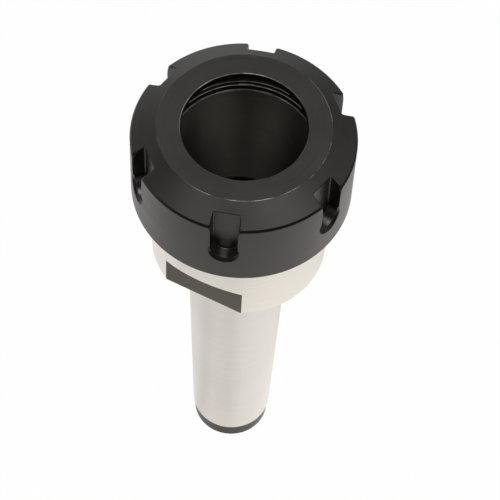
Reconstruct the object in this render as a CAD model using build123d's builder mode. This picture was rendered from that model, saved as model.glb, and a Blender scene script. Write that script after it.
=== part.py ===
from build123d import *
import os
from math import radians, tan

# Collet chuck holder: a taper shank with a chuck body, and the clamping nut that screws on its nose.
# Millimetres. The origin is the centre of the shank's small end, and +Z runs up the axis to the nut.

# Taper shank, a Morse taper No. 3 with a drawbar thread
gauge_diameter = 23.825
gauge_below_step = 5.0
taper_rate = 0.0502
shank_length = 86.0
small_end_diameter = 19.2
small_end_length = 5.0
small_end_chamfer = 0.6
grinding_neck_width = 2.0
grinding_neck_depth = 0.35

# Hole for the M12 drawbar, with its centre recess
drawbar_tap_diameter = 10.2
drawbar_hole_depth = 34.0
centre_recess_diameter = 13.0
centre_recess_depth = 6.0
centre_mouth_diameter = 15.0
centre_half_angle = 30.0
drill_half_angle = 59.0

# Chuck body with its two spanner flats
body_diameter = 41.0
body_length = 21.0
body_chamfer = 0.6
step_edge_chamfer = 0.2
flats_across = 36.0
flats_crown_height = 11.0
flats_cutter_diameter = 40.0

# Threaded nose, drawn as plain cylinders at the major diameter of its M40 x 1.5 thread
thread_diameter = 40.0
thread_clearance = 0.05
thread_relief_depth = 1.1
thread_relief_width = 2.5
nose_length = 16.25
nose_chamfer = 0.9

# Collet socket in the nose, and the clearance bore below it
socket_mouth_diameter = 32.4
socket_half_angle = 8.0
socket_depth = 29.3
socket_edge_chamfer = 0.25
clearance_bore_diameter = 23.5
clearance_bore_length = 4.0

# Clamping nut
nut_diameter = 50.0
nut_length = 22.8
nut_face_diameter = 38.5
nut_bevel_height = 3.45
nut_bevel_edge_chamfer = 0.4
nut_face_edge_chamfer = 0.15
nut_rear_chamfer = 0.15
nut_bore_chamfer = 0.8
mouth_diameter = 28.0
mouth_land = 1.7
mouth_edge_chamfer = 0.25
collar_diameter = 34.4
collar_half_angle = 30.0
collar_land = 1.4
lip_diameter = 33.5
lip_offset = 0.35
lip_azimuth = 115.0
lip_thickness = 0.55
lip_clearance = 0.1
nut_relief_width = 2.0
nut_relief_depth = 0.4

# Spanner slots round the nut
slot_count = 6
slot_azimuth = -12.6
slot_width = 6.1
slot_floor_radius = 21.75
slot_reach = 15.7
slot_corner_chamfer = 0.3
slot_end_chamfer = 0.6
slot_overrun = 3.0

# Tolerance for telling one edge's radius from another's
radius_tolerance = 1e-6

# Levels on the axis, from the small end up
step_z = shank_length
shoulder_z = step_z + body_length
thread_start_z = shoulder_z + thread_relief_width
nose_z = shoulder_z + nose_length
lip_rear_z = nose_z + lip_clearance
lip_front_z = lip_rear_z + lip_thickness
collar_z = lip_front_z + collar_land
mouth_land_z = collar_z + (collar_diameter - mouth_diameter) / 2 / tan(radians(collar_half_angle))
nut_face_z = mouth_land_z + mouth_land
nut_rear_z = nut_face_z - nut_length


def taper_radius(z):
    """Radius of the ground taper at a height."""
    return (gauge_diameter - taper_rate * (step_z - gauge_below_step - z)) / 2


# Chuck body and shank, turned from one bar
end_r = small_end_diameter / 2
taper_start_z = small_end_length + taper_radius(small_end_length) - end_r
neck_r = taper_radius(step_z) - grinding_neck_depth
body_r = body_diameter / 2
relief_r = thread_diameter / 2 - thread_relief_depth
nose_r = thread_diameter / 2 - thread_clearance / 2
socket_r = socket_mouth_diameter / 2
socket_floor_z = nose_z - socket_depth
socket_floor_r = socket_r - socket_depth * tan(radians(socket_half_angle))
bore_r = clearance_bore_diameter / 2
bore_floor_z = socket_floor_z - clearance_bore_length
bore_tip_z = bore_floor_z - bore_r / tan(radians(drill_half_angle))
tap_r = drawbar_tap_diameter / 2
recess_r = centre_recess_diameter / 2
centre_r = centre_mouth_diameter / 2
centre_depth = (centre_r - recess_r) / tan(radians(centre_half_angle))
tap_tip_z = drawbar_hole_depth + tap_r / tan(radians(drill_half_angle))

with BuildPart() as chuck_body:
    with BuildSketch(Plane.XZ):
        with BuildLine():
            Polyline(
                (0, tap_tip_z),
                (tap_r, drawbar_hole_depth),
                (tap_r, centre_recess_depth),
                (recess_r, centre_recess_depth),
                (recess_r, centre_depth),
                (centre_r, 0),
                (end_r - small_end_chamfer, 0),
                (end_r, small_end_chamfer),
                (end_r, small_end_length),
                (taper_radius(taper_start_z), taper_start_z),
                (taper_radius(step_z - grinding_neck_width), step_z - grinding_neck_width),
                (neck_r, step_z - grinding_neck_width + grinding_neck_depth),
                (neck_r, step_z),
                (body_r - step_edge_chamfer, step_z),
                (body_r, step_z + step_edge_chamfer),
                (body_r, shoulder_z - body_chamfer),
                (body_r - body_chamfer, shoulder_z),
                (relief_r, shoulder_z),
                (relief_r, thread_start_z - (nose_r - relief_r)),
                (nose_r, thread_start_z),
                (nose_r, nose_z - nose_chamfer),
                (nose_r - nose_chamfer, nose_z),
                (socket_r + socket_edge_chamfer, nose_z),
                (socket_r, nose_z - socket_edge_chamfer),
                (socket_floor_r, socket_floor_z),
                (bore_r, socket_floor_z),
                (bore_r, bore_floor_z),
                (0, bore_tip_z),
                close=True,
            )
        make_face()
    revolve(axis=Axis.Z)

    # Two opposite flats, each left by a round cutter that is fed up from the step
    flat_r = flats_across / 2
    cutter_r = flats_cutter_diameter / 2
    for side in (-1, 1):
        flat_plane = Plane(origin=(0, side * flat_r, step_z), x_dir=(1, 0, 0), z_dir=(0, side, 0))
        with BuildSketch(flat_plane):
            with Locations((0, -side * (flats_crown_height - cutter_r))):
                Circle(cutter_r)
        extrude(amount=body_r, mode=Mode.SUBTRACT)
chuck_body.part.label = "chuck_body"

# One slot's tool: a flat floor with eased corners, a half-round lower end, and a countersunk rim there
slot_r = slot_width / 2
slot_end_z = nut_face_z - slot_reach + slot_r
nut_r = nut_diameter / 2
slot_plane = Plane(origin=(slot_floor_radius, 0, slot_end_z), x_dir=(0, 1, 0), z_dir=(1, 0, 0))
slot_depth = nut_r - slot_floor_radius

with BuildPart() as slot_tool:
    with BuildSketch(slot_plane):
        Circle(slot_r)
        Rectangle(slot_width, nut_face_z - slot_end_z + slot_overrun, align=(Align.CENTER, Align.MIN))
    extrude(amount=slot_depth + slot_overrun)
    chamfer(slot_tool.faces().sort_by(Axis.X)[0].edges(), length=slot_corner_chamfer)
    with Locations(slot_plane.offset(slot_depth - slot_end_chamfer)):
        Cone(slot_r, slot_r + slot_overrun, slot_overrun, align=(Align.CENTER, Align.CENTER, Align.MIN))

# Clamping nut, turned, with its slots milled in from the front
mouth_r = mouth_diameter / 2
collar_r = collar_diameter / 2
nut_bore_r = thread_diameter / 2 + thread_clearance / 2
nut_relief_r = nut_bore_r + nut_relief_depth

with BuildPart() as clamping_nut:
    with BuildSketch(Plane.XZ):
        with BuildLine():
            Polyline(
                (nut_bore_r + nut_bore_chamfer, nut_rear_z),
                (nut_r - nut_rear_chamfer, nut_rear_z),
                (nut_r, nut_rear_z + nut_rear_chamfer),
                (nut_r, nut_face_z - nut_bevel_height),
                (nut_face_diameter / 2, nut_face_z),
                (mouth_r, nut_face_z),
                (mouth_r, mouth_land_z),
                (collar_r, collar_z),
                (collar_r, lip_front_z),
                (mouth_r, lip_front_z),
                (mouth_r, lip_rear_z),
                (nut_relief_r, lip_rear_z),
                (nut_relief_r, lip_rear_z - nut_relief_width),
                (nut_bore_r, lip_rear_z - nut_relief_width - nut_relief_depth),
                (nut_bore_r, nut_rear_z + nut_bore_chamfer),
                close=True,
            )
        make_face()
    revolve(axis=Axis.Z)

    # Eccentric hole through the lip that draws the collet out
    with BuildSketch(Plane.XY.offset(lip_rear_z)):
        with PolarLocations(lip_offset, 1, start_angle=lip_azimuth):
            Circle(lip_diameter / 2)
    extrude(amount=lip_thickness, mode=Mode.SUBTRACT)

    rims = clamping_nut.edges().filter_by(GeomType.CIRCLE)
    bevel_rim = rims.filter_by(lambda e: abs(e.radius - nut_r) < radius_tolerance).sort_by(Axis.Z)[-1]
    chamfer(bevel_rim, length=nut_bevel_edge_chamfer)
    rims = clamping_nut.edges().filter_by(GeomType.CIRCLE).group_by(Axis.Z)[-1].sort_by(SortBy.RADIUS)
    chamfer(rims[-1], length=nut_face_edge_chamfer)
    rims = clamping_nut.edges().filter_by(GeomType.CIRCLE).group_by(Axis.Z)[-1].sort_by(SortBy.RADIUS)
    chamfer(rims[0], length=mouth_edge_chamfer)

    with PolarLocations(0, slot_count, start_angle=slot_azimuth):
        add(slot_tool.part, mode=Mode.SUBTRACT)
clamping_nut.part.label = "clamping_nut"

os.makedirs("parts", exist_ok=True)
export_step(chuck_body.part, "parts/chuck_body.step")
export_step(clamping_nut.part, "parts/clamping_nut.step")
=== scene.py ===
"""Looks for the collet chuck holder: turned meshes, steel and black oxide, the photo's view."""
from math import acos, atan2, cos, hypot, pi, radians, sin, sqrt, tan

import bmesh
import bpy
from mathutils import Matrix, Vector


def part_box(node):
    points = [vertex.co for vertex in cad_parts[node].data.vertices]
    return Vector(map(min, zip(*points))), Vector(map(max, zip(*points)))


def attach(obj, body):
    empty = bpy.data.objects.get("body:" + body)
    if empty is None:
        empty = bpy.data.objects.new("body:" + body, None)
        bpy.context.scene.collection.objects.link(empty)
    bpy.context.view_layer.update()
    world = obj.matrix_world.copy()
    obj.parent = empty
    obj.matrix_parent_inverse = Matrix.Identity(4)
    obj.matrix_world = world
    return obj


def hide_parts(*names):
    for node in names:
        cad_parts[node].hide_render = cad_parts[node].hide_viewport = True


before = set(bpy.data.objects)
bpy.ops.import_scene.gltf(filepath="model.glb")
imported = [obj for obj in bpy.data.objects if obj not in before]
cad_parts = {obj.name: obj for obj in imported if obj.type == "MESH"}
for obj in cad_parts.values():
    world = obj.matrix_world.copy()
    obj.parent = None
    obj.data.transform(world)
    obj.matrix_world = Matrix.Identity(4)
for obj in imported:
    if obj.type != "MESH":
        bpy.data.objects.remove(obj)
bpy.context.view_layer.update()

# Metres in a millimetre. The two pieces are built in millimetres and scaled once they are cut.
MM = 0.001

# Sizes in millimetres, down to the roundings of the slots. The CAD nodes' boxes give these five.
body_box = [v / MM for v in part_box("chuck_body")]
nut_box = [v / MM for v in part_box("clamping_nut")]
NUT_R = nut_box[1].x
NUT_FACE_Z = nut_box[1].z
NUT_REAR_Z = nut_box[0].z
NOSE_Z = body_box[1].z
BODY_R = body_box[1].x

# Shank, from its small end up
SMALL_END_R = 9.6
SMALL_END_LENGTH = 5.0
SMALL_END_CHAMFER = 0.6
TAPER_START = (10.02, 5.42)
TAPER_END_R = 11.986
NECK_R = 11.69
NECK_WIDTH = 2.0
NECK_SLOPE_END = 1.65
STEP_Z = 86.0

# Drawbar hole
TAP_R = 5.1
TAP_END_Z = 34.0
TAP_TIP_Z = 37.06
TAP_PITCH = 1.75
RECESS_R = 6.5
RECESS_END_Z = 6.0
RECESS_START_Z = 1.73
CENTRE_R = 7.5

# Body with its two flats, and the nose
SHOULDER_Z = 107.0
STEP_CHAMFER = 0.2
BODY_CHAMFER = 0.6
FLAT_Y = 18.0
FLAT_CUTTER_R = 20.0
FLAT_CROWN = 11.0
UNDERCUT_R = 18.9
UNDERCUT_FLOOR = 1.4
UNDERCUT_WIDTH = 2.5
NOSE_R = 19.975
NOSE_CHAMFER = 0.9
NOSE_EDGE_R = 19.1

# Collet socket, and the bore below it
SOCKET_R = 16.2
SOCKET_CHAMFER = 0.25
SOCKET_FLOOR_R = 12.08
SOCKET_FLOOR_Z = 93.95
BORE_R = 11.75
BORE_LENGTH = 4.0
BORE_TIP_Z = 82.89

# Bevel at the front of the nut, with the small land that breaks its outer edge
BEVEL_IN_R = 19.25
BEVEL_OUT = (NUT_R - 0.343, NUT_FACE_Z - 3.244)
BEVEL_FOOT_Z = NUT_FACE_Z - 3.85

# Inside of the nut: mouth, cone with a fine ledge at its foot, collar land, lip and thread bore
MOUTH_R = 14.0
MOUTH_LAND = 1.7
MOUTH_LAND_ROUND = 0.15
LEDGE_TOP = (17.3, 125.127)
LEDGE_FOOT = (17.2, 125.03)
LEDGE_MIDDLE_Z = 125.08
LIP_REAR_Z = NOSE_Z + 0.1
LIP_FRONT_Z = NOSE_Z + 0.65
LIP_BLANK_R = 16.0
LIP_R = 16.75
LIP_OFFSET = 0.35
LIP_AZIMUTH = radians(115)
LIP_EDGE = 0.1
RELIEF_R = 20.425
RELIEF_WIDTH = 2.0
RELIEF_END = 2.4
NUT_BORE_R = 20.025
NUT_BORE_CHAMFER = 0.8
NUT_REAR_CHAMFER = 0.15

# Roundings of the turned edges
FINE = 0.05
SMALL = 0.1
WIDE = 0.2

# Spanner slots, with the countersink round their ends
SLOT_COUNT = 6
SLOT_AZIMUTH = radians(-12.6)
SLOT_HALF_WIDTH = 3.05
SLOT_FLOOR_R = 21.75
SLOT_CORNER_R = 0.35
SLOT_END_Z = NUT_FACE_Z - 15.7 + SLOT_HALF_WIDTH
SLOT_RIM = 0.72
RIM_START = 0.5

# Roundings of a slot's edges. The long ones grow from the floor outward, given as pairs of distance
# from the axis and share of SLOT_EASE, and shrink down the nut's side, as distance below the bevel
# and share.
SLOT_EASE = 0.5
EASE_ALONG_BEVEL = ((21.95, 0.06), (22.15, 0.2), (22.45, 0.36), (22.85, 0.52), (23.5, 0.72),
                    (24.1, 0.9))
EASE_DOWN_SIDE = ((0.5, 0.8), (1.1, 0.4), (1.8, 0.18), (2.6, 0.12))
EASE_AT_END = 0.12
EASE_SHORT = radians(5)
EASE_GAP = 0.01
FLOOR_EASE = 0.22
FLOOR_EASE_INSET = 0.15
FLOOR_EASE_SETBACK = 0.15
FLOOR_EASE_RISE = 0.5

# How far a cutter reaches past what it cuts: slots and flats, and the small tools
OVERRUN = 3.0
MARGIN = 0.3

# Mesh resolution
SEGMENTS = 288
ARC_STEPS = 5
END_STEPS = 24

# The photograph's view
VIEW_AZIMUTH = 24.8
VIEW_ELEVATION = 55.697
VIEW_ROLL = radians(2.855)
FACE_CENTRE_PX = (244.433, 126.204)
FACE_DISTANCE = 465.886 * MM
FOCAL_PX = 2141.47
IMAGE_PX = 500
CLIP_START = 0.01


def heading(azimuth, elevation=0.0):
    """Unit vector that points away from the object. Both angles are in degrees, and azimuth is
    counted from -Y toward +X."""
    a, e = radians(azimuth), radians(elevation)
    return (sin(a) * cos(e), -cos(a) * cos(e), sin(e))


# Mesh helpers
def rounded(points):
    """Points of an outline. A point (r, z, radius) becomes an arc of that radius, and a point
    (r, z) stays."""
    out = []
    for i, p in enumerate(points):
        if len(p) == 2:
            out.append(Vector(p))
            continue
        here = Vector(p[:2])
        before = (Vector(points[i - 1][:2]) - here).normalized()
        after = (Vector(points[(i + 1) % len(points)][:2]) - here).normalized()
        half = acos(before.dot(after)) / 2
        centre = here + (before + after).normalized() * (p[2] / sin(half))
        start = here + before * (p[2] / tan(half)) - centre
        sweep = (pi - 2 * half) * (1 if before.cross(after) < 0 else -1)
        for k in range(ARC_STEPS + 1):
            out.append(centre + Matrix.Rotation(sweep * k / ARC_STEPS, 2) @ start)
    return out


def mesh_object(name, vertices, faces):
    """A new object with its faces turned outward."""
    mesh = bpy.data.meshes.new(name)
    mesh.from_pydata(vertices, [], faces)
    outward = bmesh.new()
    outward.from_mesh(mesh)
    bmesh.ops.recalc_face_normals(outward, faces=outward.faces)
    outward.to_mesh(mesh)
    outward.free()
    obj = bpy.data.objects.new(name, mesh)
    bpy.context.scene.collection.objects.link(obj)
    return obj


def lathe(name, outline):
    """A solid turned about Z from a closed outline of (radius, height). Points on the axis become
    poles."""
    vertices, rings = [], []
    for r, z in outline:
        start = len(vertices)
        if r == 0:
            vertices.append((0, 0, z))
            rings.append([start] * SEGMENTS)
        else:
            angles = (2 * pi * k / SEGMENTS for k in range(SEGMENTS))
            vertices.extend((r * cos(a), r * sin(a), z) for a in angles)
            rings.append(list(range(start, start + SEGMENTS)))
    faces = []
    for i, low in enumerate(rings):
        high = rings[(i + 1) % len(rings)]
        if low[0] == low[1] and high[0] == high[1]:
            continue
        for k in range(SEGMENTS):
            m = (k + 1) % SEGMENTS
            faces.append(list(dict.fromkeys((low[k], low[m], high[m], high[k]))))
    return mesh_object(name, vertices, faces)


def stack(layers, place):
    """Vertices and faces of a closed solid between layers of points, each taken through a placing
    function."""
    count = len(layers[0])
    vertices = [place(p) for layer in layers for p in layer]
    faces = [list(range(count))[::-1], [len(vertices) - count + k for k in range(count)]]
    for i in range(len(layers) - 1):
        low, high = i * count, (i + 1) * count
        for k in range(count):
            m = (k + 1) % count
            faces.append([low + k, low + m, high + m, high + k])
    return vertices, faces


def merged(name, solids):
    """One object of several (vertices, faces) solids that don't touch."""
    vertices, faces = [], []
    for v, f in solids:
        faces += [[k + len(vertices) for k in face] for face in f]
        vertices += v
    return mesh_object(name, vertices, faces)


def cut(obj, *cutters):
    """Takes the cutters out of the object's mesh, in their order, and deletes them."""
    for cutter in cutters:
        m = obj.modifiers.new("cut", "BOOLEAN")
        m.object = cutter
        m.solver = "EXACT"
    bpy.context.view_layer.update()
    evaluated = obj.evaluated_get(bpy.context.evaluated_depsgraph_get())
    mesh = bpy.data.meshes.new_from_object(evaluated)
    obj.modifiers.clear()
    obj.data = mesh
    for cutter in cutters:
        bpy.data.objects.remove(cutter)


def half_steps(count):
    """Angles round a full circle, each half a step off the lathe's own."""
    return [2 * pi * (k + 0.5) / count for k in range(count)]


def turned(angle):
    """Placing function that turns a point about the axis."""
    c, s = cos(angle), sin(angle)
    return lambda p: (p[0] * c - p[1] * s, p[0] * s + p[1] * c, p[2])


# Tools for one slot, at azimuth 0
def slot_layer(x, inset):
    """One layer of a slot's tool: its outline at a distance from the axis."""
    w = SLOT_HALF_WIDTH - inset
    angles = [pi * k / END_STEPS for k in range(END_STEPS + 1)]
    arc = [(x, -w * cos(a), SLOT_END_Z - w * sin(a)) for a in angles]
    return arc + [(x, w, NUT_FACE_Z + OVERRUN), (x, -w, NUT_FACE_Z + OVERRUN)]


def slot_layers():
    """Layers of a slot's tool, from its floor with the rounded corners outward."""
    layers = []
    for k in range(ARC_STEPS + 1):
        a = pi / 2 * k / ARC_STEPS
        x = SLOT_FLOOR_R + SLOT_CORNER_R * (1 - cos(a))
        layers.append(slot_layer(x, SLOT_CORNER_R * (1 - sin(a))))
    return layers + [slot_layer(NUT_R + OVERRUN, 0)]


def rim_layers():
    """Layers of the cone that countersinks a slot's end."""
    layers = []
    for reach in (-RIM_START, OVERRUN):
        r = SLOT_HALF_WIDTH + reach
        x = NUT_R - SLOT_RIM + reach
        layers.append([(x, r * cos(a), SLOT_END_Z + r * sin(a)) for a in half_steps(2 * END_STEPS)])
    return layers


def bevel_z(r):
    """Height of the nut's bevel at a radius."""
    fall = (NUT_FACE_Z - BEVEL_OUT[1]) / (BEVEL_OUT[0] - BEVEL_IN_R)
    return NUT_FACE_Z - (r - BEVEL_IN_R) * fall


def floor_ease_layers():
    """Layers, across a slot, of the tool that rounds the edge between its floor and the bevel. The
    arc stops a quarter of a step short of both."""
    lean = pi / 2 - atan2(NUT_FACE_Z - BEVEL_OUT[1], BEVEL_OUT[0] - BEVEL_IN_R)
    reach = FLOOR_EASE * tan(lean / 2)
    angles = [lean * (k + 0.25) / (ARC_STEPS + 0.5) for k in range(ARC_STEPS + 1)]
    arc = [(FLOOR_EASE * (1 - cos(a)), reach - FLOOR_EASE * sin(a)) for a in angles]
    section = [(-MARGIN, arc[0][1])] + arc
    section += [(arc[-1][0] - FLOOR_EASE_SETBACK, arc[-1][1] - FLOOR_EASE_RISE),
                (-MARGIN, -FLOOR_EASE_RISE)]
    half = SLOT_HALF_WIDTH - FLOOR_EASE_INSET
    layers = []
    for k in range(END_STEPS + 1):
        y = half * (2 * k / END_STEPS - 1)
        z = bevel_z(hypot(SLOT_FLOOR_R, y))
        layers.append([(SLOT_FLOOR_R - u, y, z - v) for u, v in section])
    return layers


def ease_section(radius, slope):
    """Section of the tool that rounds a slot's long edge: distances into the wall and below the
    surface. The arc stops a little short of both, so that the tool cuts them at an angle."""
    sweep = pi / 2 + slope - 2 * EASE_SHORT
    centre = (radius, radius * (1 + sin(slope)) / cos(slope))
    angles = [EASE_SHORT + sweep * k / ARC_STEPS for k in range(ARC_STEPS + 1)]
    arc = [(centre[0] - radius * cos(a), centre[1] - radius * sin(a)) for a in angles]
    return [(-MARGIN, arc[0][1])] + arc + [(arc[-1][0], -MARGIN), (-MARGIN, -MARGIN)]


def ease_layers(side):
    """Layers of that tool down one long edge, from the slot's front end to its round end."""
    w = SLOT_HALF_WIDTH
    slant = Vector((NUT_FACE_Z - BEVEL_OUT[1], BEVEL_OUT[0] - BEVEL_IN_R)).normalized()
    land = Vector((BEVEL_OUT[1] - BEVEL_FOOT_Z, NUT_R - BEVEL_OUT[0])).normalized()
    level = Vector((1, 0))
    stops = []
    for x, share in EASE_ALONG_BEVEL:
        r = hypot(x, w)
        stops.append((r, bevel_z(r), slant, slant, share))
    stops.append((*BEVEL_OUT, slant, land, 1))
    stops.append((NUT_R, BEVEL_FOOT_Z, land, level, 1))
    for down, share in EASE_DOWN_SIDE:
        stops.append((NUT_R, BEVEL_FOOT_Z - down, level, level, share))
    stops.append((NUT_R, SLOT_END_Z - EASE_GAP, level, level, EASE_AT_END))
    layers = []
    for r, z, before, after, share in stops:
        out = (before + after) / (1 + before.dot(after))
        x = sqrt(r * r - w * w)
        section = ease_section(SLOT_EASE * share, atan2(w, x))
        layers.append([(x - v * out.x, side * (w + u), z - v * out.y) for u, v in section])
    return layers


def round_slots(name, *tools):
    """One cutter of the given layers, repeated at every slot."""
    angles = [SLOT_AZIMUTH + 2 * pi * k / SLOT_COUNT for k in range(SLOT_COUNT)]
    return merged(name, [stack(layers, turned(a)) for a in angles for layers in tools])


# Nut: turned blank, eccentric lip, six slots with their countersunk ends
nut = lathe("clamping_nut_turned", rounded([
    (NUT_BORE_R + NUT_BORE_CHAMFER, NUT_REAR_Z, SMALL),
    (NUT_R - NUT_REAR_CHAMFER, NUT_REAR_Z, FINE),
    (NUT_R, NUT_REAR_Z + NUT_REAR_CHAMFER, FINE),
    (NUT_R, BEVEL_FOOT_Z, SMALL),
    (*BEVEL_OUT, SMALL),
    (BEVEL_IN_R, NUT_FACE_Z, WIDE),
    (MOUTH_R, NUT_FACE_Z, WIDE),
    (MOUTH_R, NUT_FACE_Z - MOUTH_LAND, MOUTH_LAND_ROUND),
    LEDGE_TOP,
    (*LEDGE_FOOT, FINE),
    (LEDGE_FOOT[0], LIP_FRONT_Z),
    (LIP_BLANK_R, LIP_FRONT_Z),
    (LIP_BLANK_R, LIP_REAR_Z),
    (RELIEF_R, LIP_REAR_Z),
    (RELIEF_R, LIP_REAR_Z - RELIEF_WIDTH),
    (NUT_BORE_R, LIP_REAR_Z - RELIEF_END),
    (NUT_BORE_R, NUT_REAR_Z + NUT_BORE_CHAMFER),
]))
lip_x = LIP_OFFSET * cos(LIP_AZIMUTH)
lip_y = LIP_OFFSET * sin(LIP_AZIMUTH)
lip_stops = ((LIP_R, LIP_REAR_Z - MARGIN), (LIP_R, LIP_FRONT_Z - LIP_EDGE),
             (LIP_R + LIP_EDGE + MARGIN, LIP_FRONT_Z + MARGIN))
lip_layers = [[(lip_x + r * cos(a), lip_y + r * sin(a), z) for a in half_steps(SEGMENTS)]
              for r, z in lip_stops]
cut(nut,
    merged("lip", [stack(lip_layers, Vector)]),
    round_slots("slots", slot_layers()),
    round_slots("rims", rim_layers()),
    round_slots("eases", ease_layers(-1), ease_layers(1)),
    round_slots("floor_eases", floor_ease_layers()))

# Chuck body and shank, with a round cutter's flat on either side
body = lathe("chuck_body_turned", rounded([
    (0, TAP_TIP_Z),
    (TAP_R, TAP_END_Z),
    (TAP_R, RECESS_END_Z),
    (RECESS_R, RECESS_END_Z),
    (RECESS_R, RECESS_START_Z),
    (CENTRE_R, 0, SMALL),
    (SMALL_END_R - SMALL_END_CHAMFER, 0, WIDE),
    (SMALL_END_R, SMALL_END_CHAMFER, WIDE),
    (SMALL_END_R, SMALL_END_LENGTH),
    (*TAPER_START, SMALL),
    (TAPER_END_R, STEP_Z - NECK_WIDTH),
    (NECK_R, STEP_Z - NECK_SLOPE_END),
    (NECK_R, STEP_Z),
    (BODY_R - STEP_CHAMFER, STEP_Z, FINE),
    (BODY_R, STEP_Z + STEP_CHAMFER, FINE),
    (BODY_R, SHOULDER_Z - BODY_CHAMFER, SMALL),
    (BODY_R - BODY_CHAMFER, SHOULDER_Z, SMALL),
    (UNDERCUT_R, SHOULDER_Z),
    (UNDERCUT_R, SHOULDER_Z + UNDERCUT_FLOOR),
    (NOSE_R, SHOULDER_Z + UNDERCUT_WIDTH),
    (NOSE_R, NOSE_Z - NOSE_CHAMFER),
    (NOSE_EDGE_R, NOSE_Z, SMALL),
    (SOCKET_R + SOCKET_CHAMFER, NOSE_Z, SMALL),
    (SOCKET_R, NOSE_Z - SOCKET_CHAMFER, SMALL),
    (SOCKET_FLOOR_R, SOCKET_FLOOR_Z),
    (BORE_R, SOCKET_FLOOR_Z),
    (BORE_R, SOCKET_FLOOR_Z - BORE_LENGTH),
    (0, BORE_TIP_Z),
]))
flat_z = STEP_Z + FLAT_CROWN - FLAT_CUTTER_R
flat_circle = [(FLAT_CUTTER_R * cos(a), flat_z + FLAT_CUTTER_R * sin(a))
               for a in half_steps(SEGMENTS)]
flat_cutters = []
for side in (-1, 1):
    layers = [[(x, y, z) for x, z in flat_circle]
              for y in (side * FLAT_Y, side * (BODY_R + OVERRUN))]
    flat_cutters.append(stack(layers, Vector))
cut(body, merged("flats", flat_cutters))

for piece in (nut, body):
    piece.data.transform(Matrix.Scale(MM, 4))


# Noise of the finishes: how fast a lathe line changes along its length, and the octaves
LINE_CHANGE = 40.0
LINE_DETAIL = 2.0
CLOUD_DETAIL = 3.0


# Node helpers
def add(tree, kind, inputs=None, **settings):
    """A new node. Inputs are values, or sockets of other nodes to link from."""
    n = tree.nodes.new(kind)
    for name, value in settings.items():
        setattr(n, name, value)
    for name, value in (inputs or {}).items():
        if isinstance(value, bpy.types.NodeSocket):
            tree.links.new(value, n.inputs[name])
        else:
            n.inputs[name].default_value = value
    return n


def math(tree, operation, *values):
    return add(tree, "ShaderNodeMath", dict(enumerate(values)), operation=operation).outputs[0]


def vector_math(tree, operation, *values):
    """A vector from its node's first output, or a number for a length or a dot product."""
    n = add(tree, "ShaderNodeVectorMath", dict(enumerate(values)), operation=operation)
    return n.outputs["Value" if operation in ("LENGTH", "DOT_PRODUCT") else "Vector"]


def weighed(tree, a, share_a, b, share_b):
    """The sum of two values, each times its share."""
    return math(tree, "ADD", math(tree, "MULTIPLY", a, share_a), math(tree, "MULTIPLY", b, share_b))


def spread(tree, value, low, high, to_low, to_high, shape="LINEAR"):
    """A value's range from low to high taken to another range, and held at its ends."""
    return add(tree, "ShaderNodeMapRange", {0: value, 1: low, 2: high, 3: to_low, 4: to_high},
               interpolation_type=shape).outputs[0]


def blended(tree, factor, a, b):
    """Colour a at factor 0, and colour b at factor 1."""
    return add(tree, "ShaderNodeMix", {0: factor, 6: a, 7: b}, data_type="RGBA").outputs[2]


def object_place(tree):
    return add(tree, "ShaderNodeTexCoord").outputs["Object"]


def new_tree(name):
    material = bpy.data.materials.new(name)
    material.use_nodes = True
    material.node_tree.nodes.clear()
    return material, material.node_tree


def noise(tree, place, scale, detail):
    return add(tree, "ShaderNodeTexNoise", {"Vector": place, "Scale": scale, "Detail": detail}
               ).outputs["Fac"]


def lathe_noise(tree, fineness):
    """Noise in fine lines that run round the axis, as a tool or a grinding wheel leaves them, from
    0 to 1. Each line changes slowly along its length."""
    place = object_place(tree)
    x, y, z = add(tree, "ShaderNodeSeparateXYZ", {0: place}).outputs
    radius = math(tree, "SQRT", math(tree, "ADD", math(tree, "MULTIPLY", x, x),
                                     math(tree, "MULTIPLY", y, y)))
    across = add(tree, "ShaderNodeCombineXYZ", {0: math(tree, "MULTIPLY", radius, fineness), 1: 0.0,
                                                2: math(tree, "MULTIPLY", z, fineness)}).outputs[0]
    slow = vector_math(tree, "MULTIPLY", place, (LINE_CHANGE, LINE_CHANGE, 0))
    return noise(tree, vector_math(tree, "ADD", across, slow), 1.0, LINE_DETAIL)


def cloud_noise(tree, scale, detail=CLOUD_DETAIL):
    return noise(tree, object_place(tree), scale, detail)


# Finishes: the noise that they use, as ranges of it and as shares in which two noises are summed
MAIN_SHARE = 0.6
LESSER_SHARE = 0.4
MOTTLE_RANGE = (0.38, 0.62)
ROUGH_RANGE = (0.35, 0.65)
STAIN_RANGE = (0.5, 0.72)
STAIN_SCALE = 0.45
WEAR_SCALE = 260
WEAR_DETAIL = 4.0
WEAR_RANGE = (0.3, 0.7)
WEAR_ROUGHNESS = (0.42, 0.34)
# How the painted highlight leans toward a side: the range over which it grows, and its share on the
# far side
HIGHLIGHT_SIDE_RANGE = (-0.1, 0.9)
HIGHLIGHT_FAR_SIDE = 0.25
TAPPED_SCALE = 200
TAPPED_ROUGHNESS = 0.38

# Share of a turn that lays the highlights across the lathe lines
ACROSS_LINES = 0.25


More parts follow.
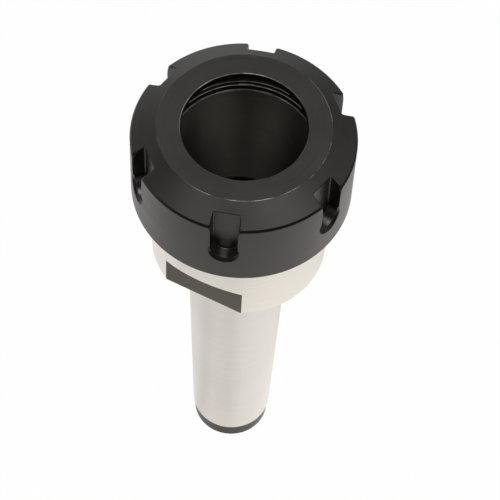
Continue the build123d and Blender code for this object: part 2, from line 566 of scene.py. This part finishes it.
def steel(name, dark, light, rough, cloud_scale, fineness, relief, tint=None, grain=0.0):
    """A turned or ground metal: cloudy between two colours, with fine lines round the axis. Grain,
    from 0 to 1, draws its highlights out along the axis, as lines round the axis do."""
    material, tree = new_tree(name)
    lines = lathe_noise(tree, fineness)
    clouds = cloud_noise(tree, cloud_scale)
    mottle = weighed(tree, clouds, MAIN_SHARE, lines, LESSER_SHARE)
    colour = blended(tree, spread(tree, mottle, *MOTTLE_RANGE, 0, 1), dark, light)
    if tint:
        stains = cloud_noise(tree, cloud_scale * STAIN_SCALE)
        colour = blended(tree, spread(tree, stains, *STAIN_RANGE, 0, 1), colour, tint)
    rough_noise = weighed(tree, lines, MAIN_SHARE, clouds, LESSER_SHARE)
    bump = add(tree, "ShaderNodeBump", {"Height": lines, "Strength": 1.0, "Distance": relief})
    tangent = add(tree, "ShaderNodeTangent", direction_type="RADIAL", axis="Z")
    shader = add(tree, "ShaderNodeBsdfPrincipled", {
        "Base Color": colour,
        "Metallic": 1.0,
        "Roughness": spread(tree, rough_noise, *ROUGH_RANGE, *rough),
        "Normal": bump.outputs[0],
        "Anisotropic": grain,
        "Anisotropic Rotation": ACROSS_LINES,
        "Tangent": tangent.outputs[0],
    })
    add(tree, "ShaderNodeOutputMaterial", {"Surface": shader.outputs[0]})
    return material


def wear_and_highlight_edge(name, dark, bare_and_lit, low, high, side=None):
    """Metal on an edge, lighter in noise patches: partly wear, and partly a painted highlight where
    the light colour stands in for light on the edge. With a side, an azimuth in degrees, it is
    lightest there, a painted highlight on that side."""
    material, tree = new_tree(name)
    patches = cloud_noise(tree, WEAR_SCALE, WEAR_DETAIL)
    rubbed_and_lit = spread(tree, patches, low, high, 0, 1)
    # Painted highlight: lighter on the side where the light falls
    if side is not None:
        out = vector_math(tree, "MULTIPLY", object_place(tree), (1, 1, 0))
        facing_lit_side = vector_math(tree, "DOT_PRODUCT", vector_math(tree, "NORMALIZE", out),
                             heading(side))
        share = spread(tree, facing_lit_side, *HIGHLIGHT_SIDE_RANGE, HIGHLIGHT_FAR_SIDE, 1)
        rubbed_and_lit = math(tree, "MULTIPLY", rubbed_and_lit, share)
    shader = add(tree, "ShaderNodeBsdfPrincipled", {
        "Base Color": blended(tree, rubbed_and_lit, dark, bare_and_lit),
        "Metallic": 1.0,
        "Roughness": spread(tree, patches, *WEAR_RANGE, *WEAR_ROUGHNESS),
    })
    add(tree, "ShaderNodeOutputMaterial", {"Surface": shader.outputs[0]})
    return material


def tapped(name, dark, light, pitch):
    """A blackened hole with a thread: a helical ridge of the given pitch, in metres, as relief."""
    material, tree = new_tree(name)
    place = object_place(tree)
    height = add(tree, "ShaderNodeSeparateXYZ", {0: place}).outputs[2]
    part_turn = add(tree, "ShaderNodeTexGradient", {"Vector": place}, gradient_type="RADIAL")
    turns = math(tree, "ADD", math(tree, "DIVIDE", height, pitch), part_turn.outputs["Fac"])
    ridge = math(tree, "PINGPONG", turns, 0.5)
    bump = add(tree, "ShaderNodeBump", {"Height": ridge, "Strength": 1.0, "Distance": pitch})
    shader = add(tree, "ShaderNodeBsdfPrincipled", {
        "Base Color": blended(tree, cloud_noise(tree, TAPPED_SCALE), dark, light),
        "Metallic": 1.0,
        "Roughness": TAPPED_ROUGHNESS,
        "Normal": bump.outputs[0],
    })
    add(tree, "ShaderNodeOutputMaterial", {"Surface": shader.outputs[0]})
    return material


# Lines a metre across the lathe lines, and how deep they are in metres
TURNED_LINES = 3000
GROUND_LINES = 2600
TURNED_RELIEF = 0.000002
MILLED_RELIEF = 0.000001
GROUND_RELIEF = 0.0000003
GROUND_GRAIN = 0.88

black = steel("black_oxide", (0.052, 0.0505, 0.0475, 1), (0.061, 0.0595, 0.056, 1),
              (0.33, 0.41), 90, TURNED_LINES, TURNED_RELIEF)
# Edge round the nut's face: lighter in patches, partly as wear and partly as painted highlight,
# which leans toward azimuth 75 where the light falls
black_edge_wear_and_highlight = wear_and_highlight_edge("black_oxide_edge_wear_and_highlight", (0.06, 0.058, 0.055, 1), (0.50, 0.485, 0.46, 1),
                       0.42, 0.6, side=75)
# Edge of the nut's mouth: darker than the oxide as painted shade, and lighter in patches toward
# azimuth 235 as painted highlight
black_rim_painted_light = wear_and_highlight_edge("black_oxide_rim_painted_light", (0.035, 0.034, 0.032, 1), (0.36, 0.35, 0.33, 1),
                      0.35, 0.6, side=235)
# Edges of the ledge and the lip inside the nut: steel far lighter than the oxide, painted highlight
# lines
inner_line_painted_highlight = wear_and_highlight_edge("inner_edge_painted_highlight", (0.28, 0.27, 0.25, 1), (0.62, 0.60, 0.57, 1), 0.35, 0.6)
# Half-round ends of the slots: milled steel far lighter than the oxide, a painted highlight
slot_end_painted_highlight = steel("slot_end_milled_painted_highlight", (0.26, 0.255, 0.243, 1), (0.34, 0.333, 0.317, 1),
                 (0.31, 0.36), 700, TURNED_LINES, MILLED_RELIEF)
black_flat = steel("black_oxide_milled", (0.083, 0.0745, 0.0615, 1), (0.098, 0.0875, 0.0715, 1),
                   (0.36, 0.46), 120, TURNED_LINES, TURNED_RELIEF)
ground = steel("ground_steel", (0.75, 0.72, 0.68, 1), (0.82, 0.794, 0.757, 1),
               (0.28, 0.32), 45, GROUND_LINES, GROUND_RELIEF,
               tint=(0.82, 0.765, 0.70, 1), grain=GROUND_GRAIN)
# The body's ground steel, a lighter copy of the shank's: painted light
collar_painted_light = steel("ground_steel_body_painted_light", (0.89, 0.85, 0.79, 1), (0.95, 0.915, 0.855, 1),
               (0.28, 0.32), 45, GROUND_LINES, GROUND_RELIEF,
               tint=(0.95, 0.88, 0.78, 1), grain=GROUND_GRAIN)
# The collet socket's ground steel, darkened far below the shank's: painted shade of the recess
socket_painted_shade = steel("socket_steel_painted_shade", (0.118, 0.106, 0.094, 1), (0.136, 0.123, 0.109, 1),
               (0.40, 0.44), 60, GROUND_LINES, GROUND_RELIEF, grain=1.0)
# Top edge of the socket: lighter in noise patches, a painted highlight
socket_edge_painted_highlight = wear_and_highlight_edge("socket_edge_painted_highlight", (0.13, 0.122, 0.114, 1), (0.27, 0.26, 0.245, 1), 0.4, 0.6)
drawbar = tapped("drawbar_thread", (0.10, 0.096, 0.09, 1), (0.13, 0.1248, 0.117, 1),
                 TAP_PITCH * MM)

# Finishes by region
for piece, finishes in ((nut, (black, black_edge_wear_and_highlight, black_rim_painted_light, inner_line_painted_highlight, slot_end_painted_highlight)),
                        (body, (ground, black, black_flat, socket_painted_shade, collar_painted_light, socket_edge_painted_highlight, drawbar))):
    piece.data.materials.clear()
    for finish in finishes:
        piece.data.materials.append(finish)
OXIDE, EDGE_WEAR_AND_HIGHLIGHT, RIM_PAINTED_LIGHT, INNER_LINE_PAINTED_HIGHLIGHT, SLOT_END_PAINTED_HIGHLIGHT = range(5)
GROUND, BLACK, MILLED, SOCKET_PAINTED_SHADE, COLLAR_PAINTED_LIGHT, SOCKET_EDGE_PAINTED_HIGHLIGHT, DRAWBAR = range(7)

# What lies nearer the axis than this radius and above this level is the socket, its bore, the
# grinding neck and the step's underside. The socket's walls there take a darkened steel, painted
# shade.
DARK_WITHIN_R = 16.5
DARK_ABOVE_Z = 80.0
DRAWBAR_WITHIN_R = 9.0
SOCKET_EDGE_DEPTH = 0.3
SMALL_END_BAND = 0.3
FACE_EDGE_DEPTH = 0.35
FACE_EDGE_WIDTH = 0.3
MOUTH_EDGE_WIDTH = 0.4
LEDGE_WIDTH = 0.1
LEDGE_REACH = 0.06
LIP_EDGE_REACH = 0.15

# How near a face lies to the surface that it belongs to, and how clear of an edge
CLOSE = 0.02
CLEAR = 0.1

# What a face's normal tells: flat across an axis, beside one, or an edge, by its upward part
FLAT_NORMAL = 0.99
SIDE_NORMAL = 0.2
FACE_EDGE_NORMAL = (0.875, 0.995)
MOUTH_EDGE_NORMAL = (0.05, 0.99)
LIP_EDGE_NORMAL = (0.15, 0.97)


def between(value, limits):
    return limits[0] < value < limits[1]


def chuck_region(centre, normal):
    """Finish of a face of the chuck, from its middle in millimetres and its normal."""
    r = hypot(centre.x, centre.y)
    if r < DARK_WITHIN_R and centre.z > DARK_ABOVE_Z:
        if centre.z < SOCKET_FLOOR_Z + CLOSE:
            return MILLED
        # Socket walls take painted shade, their top edge a painted highlight
        return SOCKET_EDGE_PAINTED_HIGHLIGHT if centre.z > NOSE_Z - SOCKET_EDGE_DEPTH else SOCKET_PAINTED_SHADE
    on_flat = abs(abs(centre.y) - FLAT_Y) < CLOSE and abs(normal.y) > FLAT_NORMAL
    inside = STEP_Z + STEP_CHAMFER + CLEAR < centre.z < SHOULDER_Z - BODY_CHAMFER - CLEAR
    on_arc = inside and r < BODY_R - CLOSE
    if on_flat or on_arc:
        return MILLED
    if abs(r - TAP_R) < CLOSE and centre.z < TAP_END_Z:
        return DRAWBAR
    if centre.z < SMALL_END_LENGTH + SMALL_END_BAND or r < DRAWBAR_WITHIN_R:
        return BLACK
    if abs(normal.z) > FLAT_NORMAL or centre.z > SHOULDER_Z:
        return BLACK
    # Above the step the body takes the lighter copy of the ground steel, painted light
    return COLLAR_PAINTED_LIGHT if centre.z > STEP_Z else GROUND


def on_slot_end(centre, normal):
    """Whether a face of the nut belongs to the half-round end wall of a slot."""
    step = 2 * pi / SLOT_COUNT
    turn = SLOT_AZIMUTH + step * round((atan2(centre.y, centre.x) - SLOT_AZIMUTH) / step)
    outward = Vector((cos(turn), sin(turn), 0))
    at_end = SLOT_END_Z - SLOT_HALF_WIDTH - CLEAR < centre.z < SLOT_END_Z
    in_slot = SLOT_FLOOR_R < centre.dot(outward) < NUT_R - 2 * CLEAR
    return at_end and in_slot and abs(normal.dot(outward)) < SIDE_NORMAL


def nut_region(centre, normal):
    """Finish of a face of the nut: edges round the face and the mouth, lighter in patches partly as
    wear and partly as painted highlight, the mouth's edge also darker as painted shade; painted
    highlight lines on the inner cone and the lip; and slot ends painted bright as a highlight."""
    r = hypot(centre.x, centre.y)
    if on_slot_end(centre, normal):
        return SLOT_END_PAINTED_HIGHLIGHT
    near_ledge = abs(centre.z - LEDGE_MIDDLE_Z) < LEDGE_REACH and r < LEDGE_TOP[0] + LEDGE_WIDTH
    if near_ledge and normal.z > MOUTH_EDGE_NORMAL[0]:
        return INNER_LINE_PAINTED_HIGHLIGHT
    if centre.z > NUT_FACE_Z - FACE_EDGE_DEPTH:
        if abs(r - BEVEL_IN_R) < FACE_EDGE_WIDTH and between(normal.z, FACE_EDGE_NORMAL):
            return EDGE_WEAR_AND_HIGHLIGHT
        if r < MOUTH_R + MOUTH_EDGE_WIDTH and between(normal.z, MOUTH_EDGE_NORMAL):
            return RIM_PAINTED_LIGHT
    near_lip = abs(centre.z - LIP_FRONT_Z) < LIP_EDGE_REACH and r < LEDGE_TOP[0]
    if near_lip and between(normal.z, LIP_EDGE_NORMAL):
        return INNER_LINE_PAINTED_HIGHLIGHT
    return OXIDE


SHARP_ANGLE = radians(32)
for piece, region in ((body, chuck_region), (nut, nut_region)):
    for face in piece.data.polygons:
        face.material_index = region(face.center / MM, face.normal)
for piece, carrier, cad_node, slot in ((nut, "nut", "clamping_nut", "black_oxide_steel"),
                                       (body, "chuck", "chuck_body", "ground_steel")):
    piece.data.shade_smooth()
    piece.data.set_sharp_from_angle(angle=SHARP_ANGLE)
    normals = piece.modifiers.new("normals", "WEIGHTED_NORMAL")
    normals.keep_sharp = True
    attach(piece, carrier)
    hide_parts(cad_node)

# Floor: white to the camera. Reflections see a bright ring near the object, and farther out a floor
# that is lit from one side.
FLOOR_HALF = 4
FLOOR_GLOW = 0.98
NEAR_BANDS = ((0.0, 0.92), (0.061, 1.02), (0.133, 0.86), (0.194, 0.95), (0.30, 0.92),
              (0.389, 1.05), (0.48, 1.11), (0.56, 1.15), (0.62, 1.11), (0.70, 0.90), (1.0, 0.92))
NEAR_TINT = (1, 0.985, 0.955)
LIFT_FROM = (0.065, 0.10)
LIFT_BACK = 1.05
LIFT_FRONT = 1.22
RING_END = (0.11, 0.17)
FAR_LIGHT_AZIMUTH = 240
FAR_LIGHT_RANGE = (-0.2, 1.0)
FAR_LEVELS = (0.15, 0.88)
PLAIN_FLOOR = (0.86, 0.86, 0.86, 1)
WHITE = (1, 1, 1, 1)


def floor_material():
    """A floor that is pale to the light and glows in what looks at it. NEAR_BANDS gives the ring's
    glow as pairs of position, a share of a turn, and brightness. It brightens outward over the
    distances LIFT_FROM and ends over RING_END, both in metres."""
    material, tree = new_tree("floor")
    rays = add(tree, "ShaderNodeLightPath").outputs
    place = object_place(tree)
    away = vector_math(tree, "LENGTH", place)
    bearing = vector_math(tree, "NORMALIZE", place)
    around = add(tree, "ShaderNodeTexGradient", {"Vector": place}, gradient_type="RADIAL")
    near = add(tree, "ShaderNodeValToRGB", {0: around.outputs["Fac"]})
    stops = near.color_ramp.elements
    stops.remove(stops[1])
    for i, (position, brightness) in enumerate(NEAR_BANDS):
        stop = stops[0] if i == 0 else stops.new(position)
        stop.color = [brightness * c for c in NEAR_TINT] + [1]
    toward_light = vector_math(tree, "DOT_PRODUCT", bearing, heading(FAR_LIGHT_AZIMUTH))
    far = spread(tree, toward_light, *FAR_LIGHT_RANGE, *FAR_LEVELS)
    toward_view = vector_math(tree, "DOT_PRODUCT", bearing, heading(VIEW_AZIMUTH))
    lift = spread(tree, away, *LIFT_FROM, 1.0,
                  spread(tree, toward_view, 0, 1, LIFT_BACK, LIFT_FRONT))
    lifted = add(tree, "ShaderNodeVectorMath", {0: near.outputs[0], "Scale": lift},
                 operation="SCALE").outputs[0]
    mirrored = blended(tree, spread(tree, away, *RING_END, 0, 1), lifted, far)
    shown = blended(tree, rays["Is Camera Ray"], mirrored, WHITE)
    plain = add(tree, "ShaderNodeBsdfDiffuse", {"Color": PLAIN_FLOOR})
    glow = add(tree, "ShaderNodeEmission", {"Color": shown, "Strength": 1.0})
    seen = math(tree, "MAXIMUM", rays["Is Camera Ray"],
                math(tree, "MAXIMUM", rays["Is Glossy Ray"], rays["Is Transmission Ray"]))
    mix = add(tree, "ShaderNodeMixShader", {0: math(tree, "MULTIPLY", seen, FLOOR_GLOW),
                                            1: plain.outputs[0], 2: glow.outputs[0]})
    add(tree, "ShaderNodeOutputMaterial", {"Surface": mix.outputs[0]})
    return material


corners = [(FLOOR_HALF * x, FLOOR_HALF * y, 0) for x, y in ((-1, -1), (1, -1), (1, 1), (-1, 1))]
floor = mesh_object("floor", corners, [[0, 1, 2, 3]])
floor.data.materials.append(floor_material())

# World: white to the camera, and for the rest a studio, dark low down on the camera's side, with
# soft patches of light. Each patch has an azimuth, an elevation, a reach in degrees and a
# brightness, which darkens where it is negative.
STUDIO_LEVEL = 0.40
LOW_HEIGHTS = (0.58, 0.84)
LOW_VIEW_RANGE = (-0.4, 0.55)
LOW_LEVELS = (0.55, 0.06)
PATCHES = ((-22, 56, 24, 1.05), (71, 56, 25, 1.38), (112, 44, 24, 0.38),
           (205, 58, 36, 0.28), (225, 3, 28, 0.4), (178, 0, 34, -0.22))
PATCH_CORE = 0.35


def dress_world(tree):
    tree.nodes.clear()
    rays = add(tree, "ShaderNodeLightPath").outputs
    toward = add(tree, "ShaderNodeTexCoord").outputs["Generated"]
    height = add(tree, "ShaderNodeSeparateXYZ", {0: toward}).outputs[2]
    toward_view = vector_math(tree, "DOT_PRODUCT", toward, heading(VIEW_AZIMUTH))
    low = spread(tree, height, *LOW_HEIGHTS, 1.0, 0.0)
    low_level = spread(tree, toward_view, *LOW_VIEW_RANGE, *LOW_LEVELS)
    level = add(tree, "ShaderNodeMix", {0: low, 2: STUDIO_LEVEL, 3: low_level},
                data_type="FLOAT").outputs[0]
    for azimuth, elevation, reach, brightness in PATCHES:
        close = vector_math(tree, "DOT_PRODUCT", toward, heading(azimuth, elevation))
        edge, core = cos(radians(reach)), cos(radians(reach * PATCH_CORE))
        patch = spread(tree, close, edge, core, 0.0, brightness, "SMOOTHSTEP")
        level = math(tree, "ADD", level, patch)
    studio = add(tree, "ShaderNodeBackground", {"Color": WHITE, "Strength": level})
    white = add(tree, "ShaderNodeBackground", {"Color": WHITE, "Strength": 1.0})
    mix = add(tree, "ShaderNodeMixShader", {0: rays["Is Camera Ray"], 1: studio.outputs[0],
                                            2: white.outputs[0]})
    add(tree, "ShaderNodeOutputWorld", {"Surface": mix.outputs[0]})


world = bpy.data.worlds.new("studio")
bpy.context.scene.world = world
world.use_nodes = True
dress_world(world.node_tree)

# Lamp: a weak square soft box above the object, in metres and watts
LAMP_DISTANCE = 0.9
LAMP_SIZE = 0.5
LAMP_WATTS = 1
light = bpy.data.lights.new("overhead", "AREA")
light.shape = "SQUARE"
light.size = LAMP_SIZE
light.energy = LAMP_WATTS
lamp = bpy.data.objects.new("overhead", light)
lamp.location = (0, 0, NUT_FACE_Z * MM / 2 + LAMP_DISTANCE)
bpy.context.scene.collection.objects.link(lamp)

# Camera: the photograph's own view, with the middle of the nut's face at its pixel
camera = bpy.data.objects.new("camera", bpy.data.cameras.new("camera"))
bpy.context.scene.collection.objects.link(camera)
bpy.context.scene.camera = camera
camera.data.lens = camera.data.sensor_width * FOCAL_PX / IMAGE_PX
camera.data.clip_start = CLIP_START
backward = Vector(heading(VIEW_AZIMUTH, VIEW_ELEVATION))
right = Vector((cos(radians(VIEW_AZIMUTH)), sin(radians(VIEW_AZIMUTH)), 0))
unrolled = Matrix((right, backward.cross(right), backward)).transposed()
to_face = Vector((FACE_CENTRE_PX[0] - IMAGE_PX / 2, IMAGE_PX / 2 - FACE_CENTRE_PX[1],
                  -FOCAL_PX)).normalized()
tilt = Vector((0, 0, -1)).rotation_difference(to_face).to_matrix()
roll = Matrix.Rotation(-VIEW_ROLL, 3, "Z")
rotation = unrolled @ (tilt @ roll).transposed()
face_centre = Vector((0, 0, NUT_FACE_Z * MM))
place = face_centre - rotation @ to_face * FACE_DISTANCE
camera.matrix_world = Matrix.LocRotScale(place, rotation, None)

bpy.context.scene.view_settings.view_transform = "Standard"
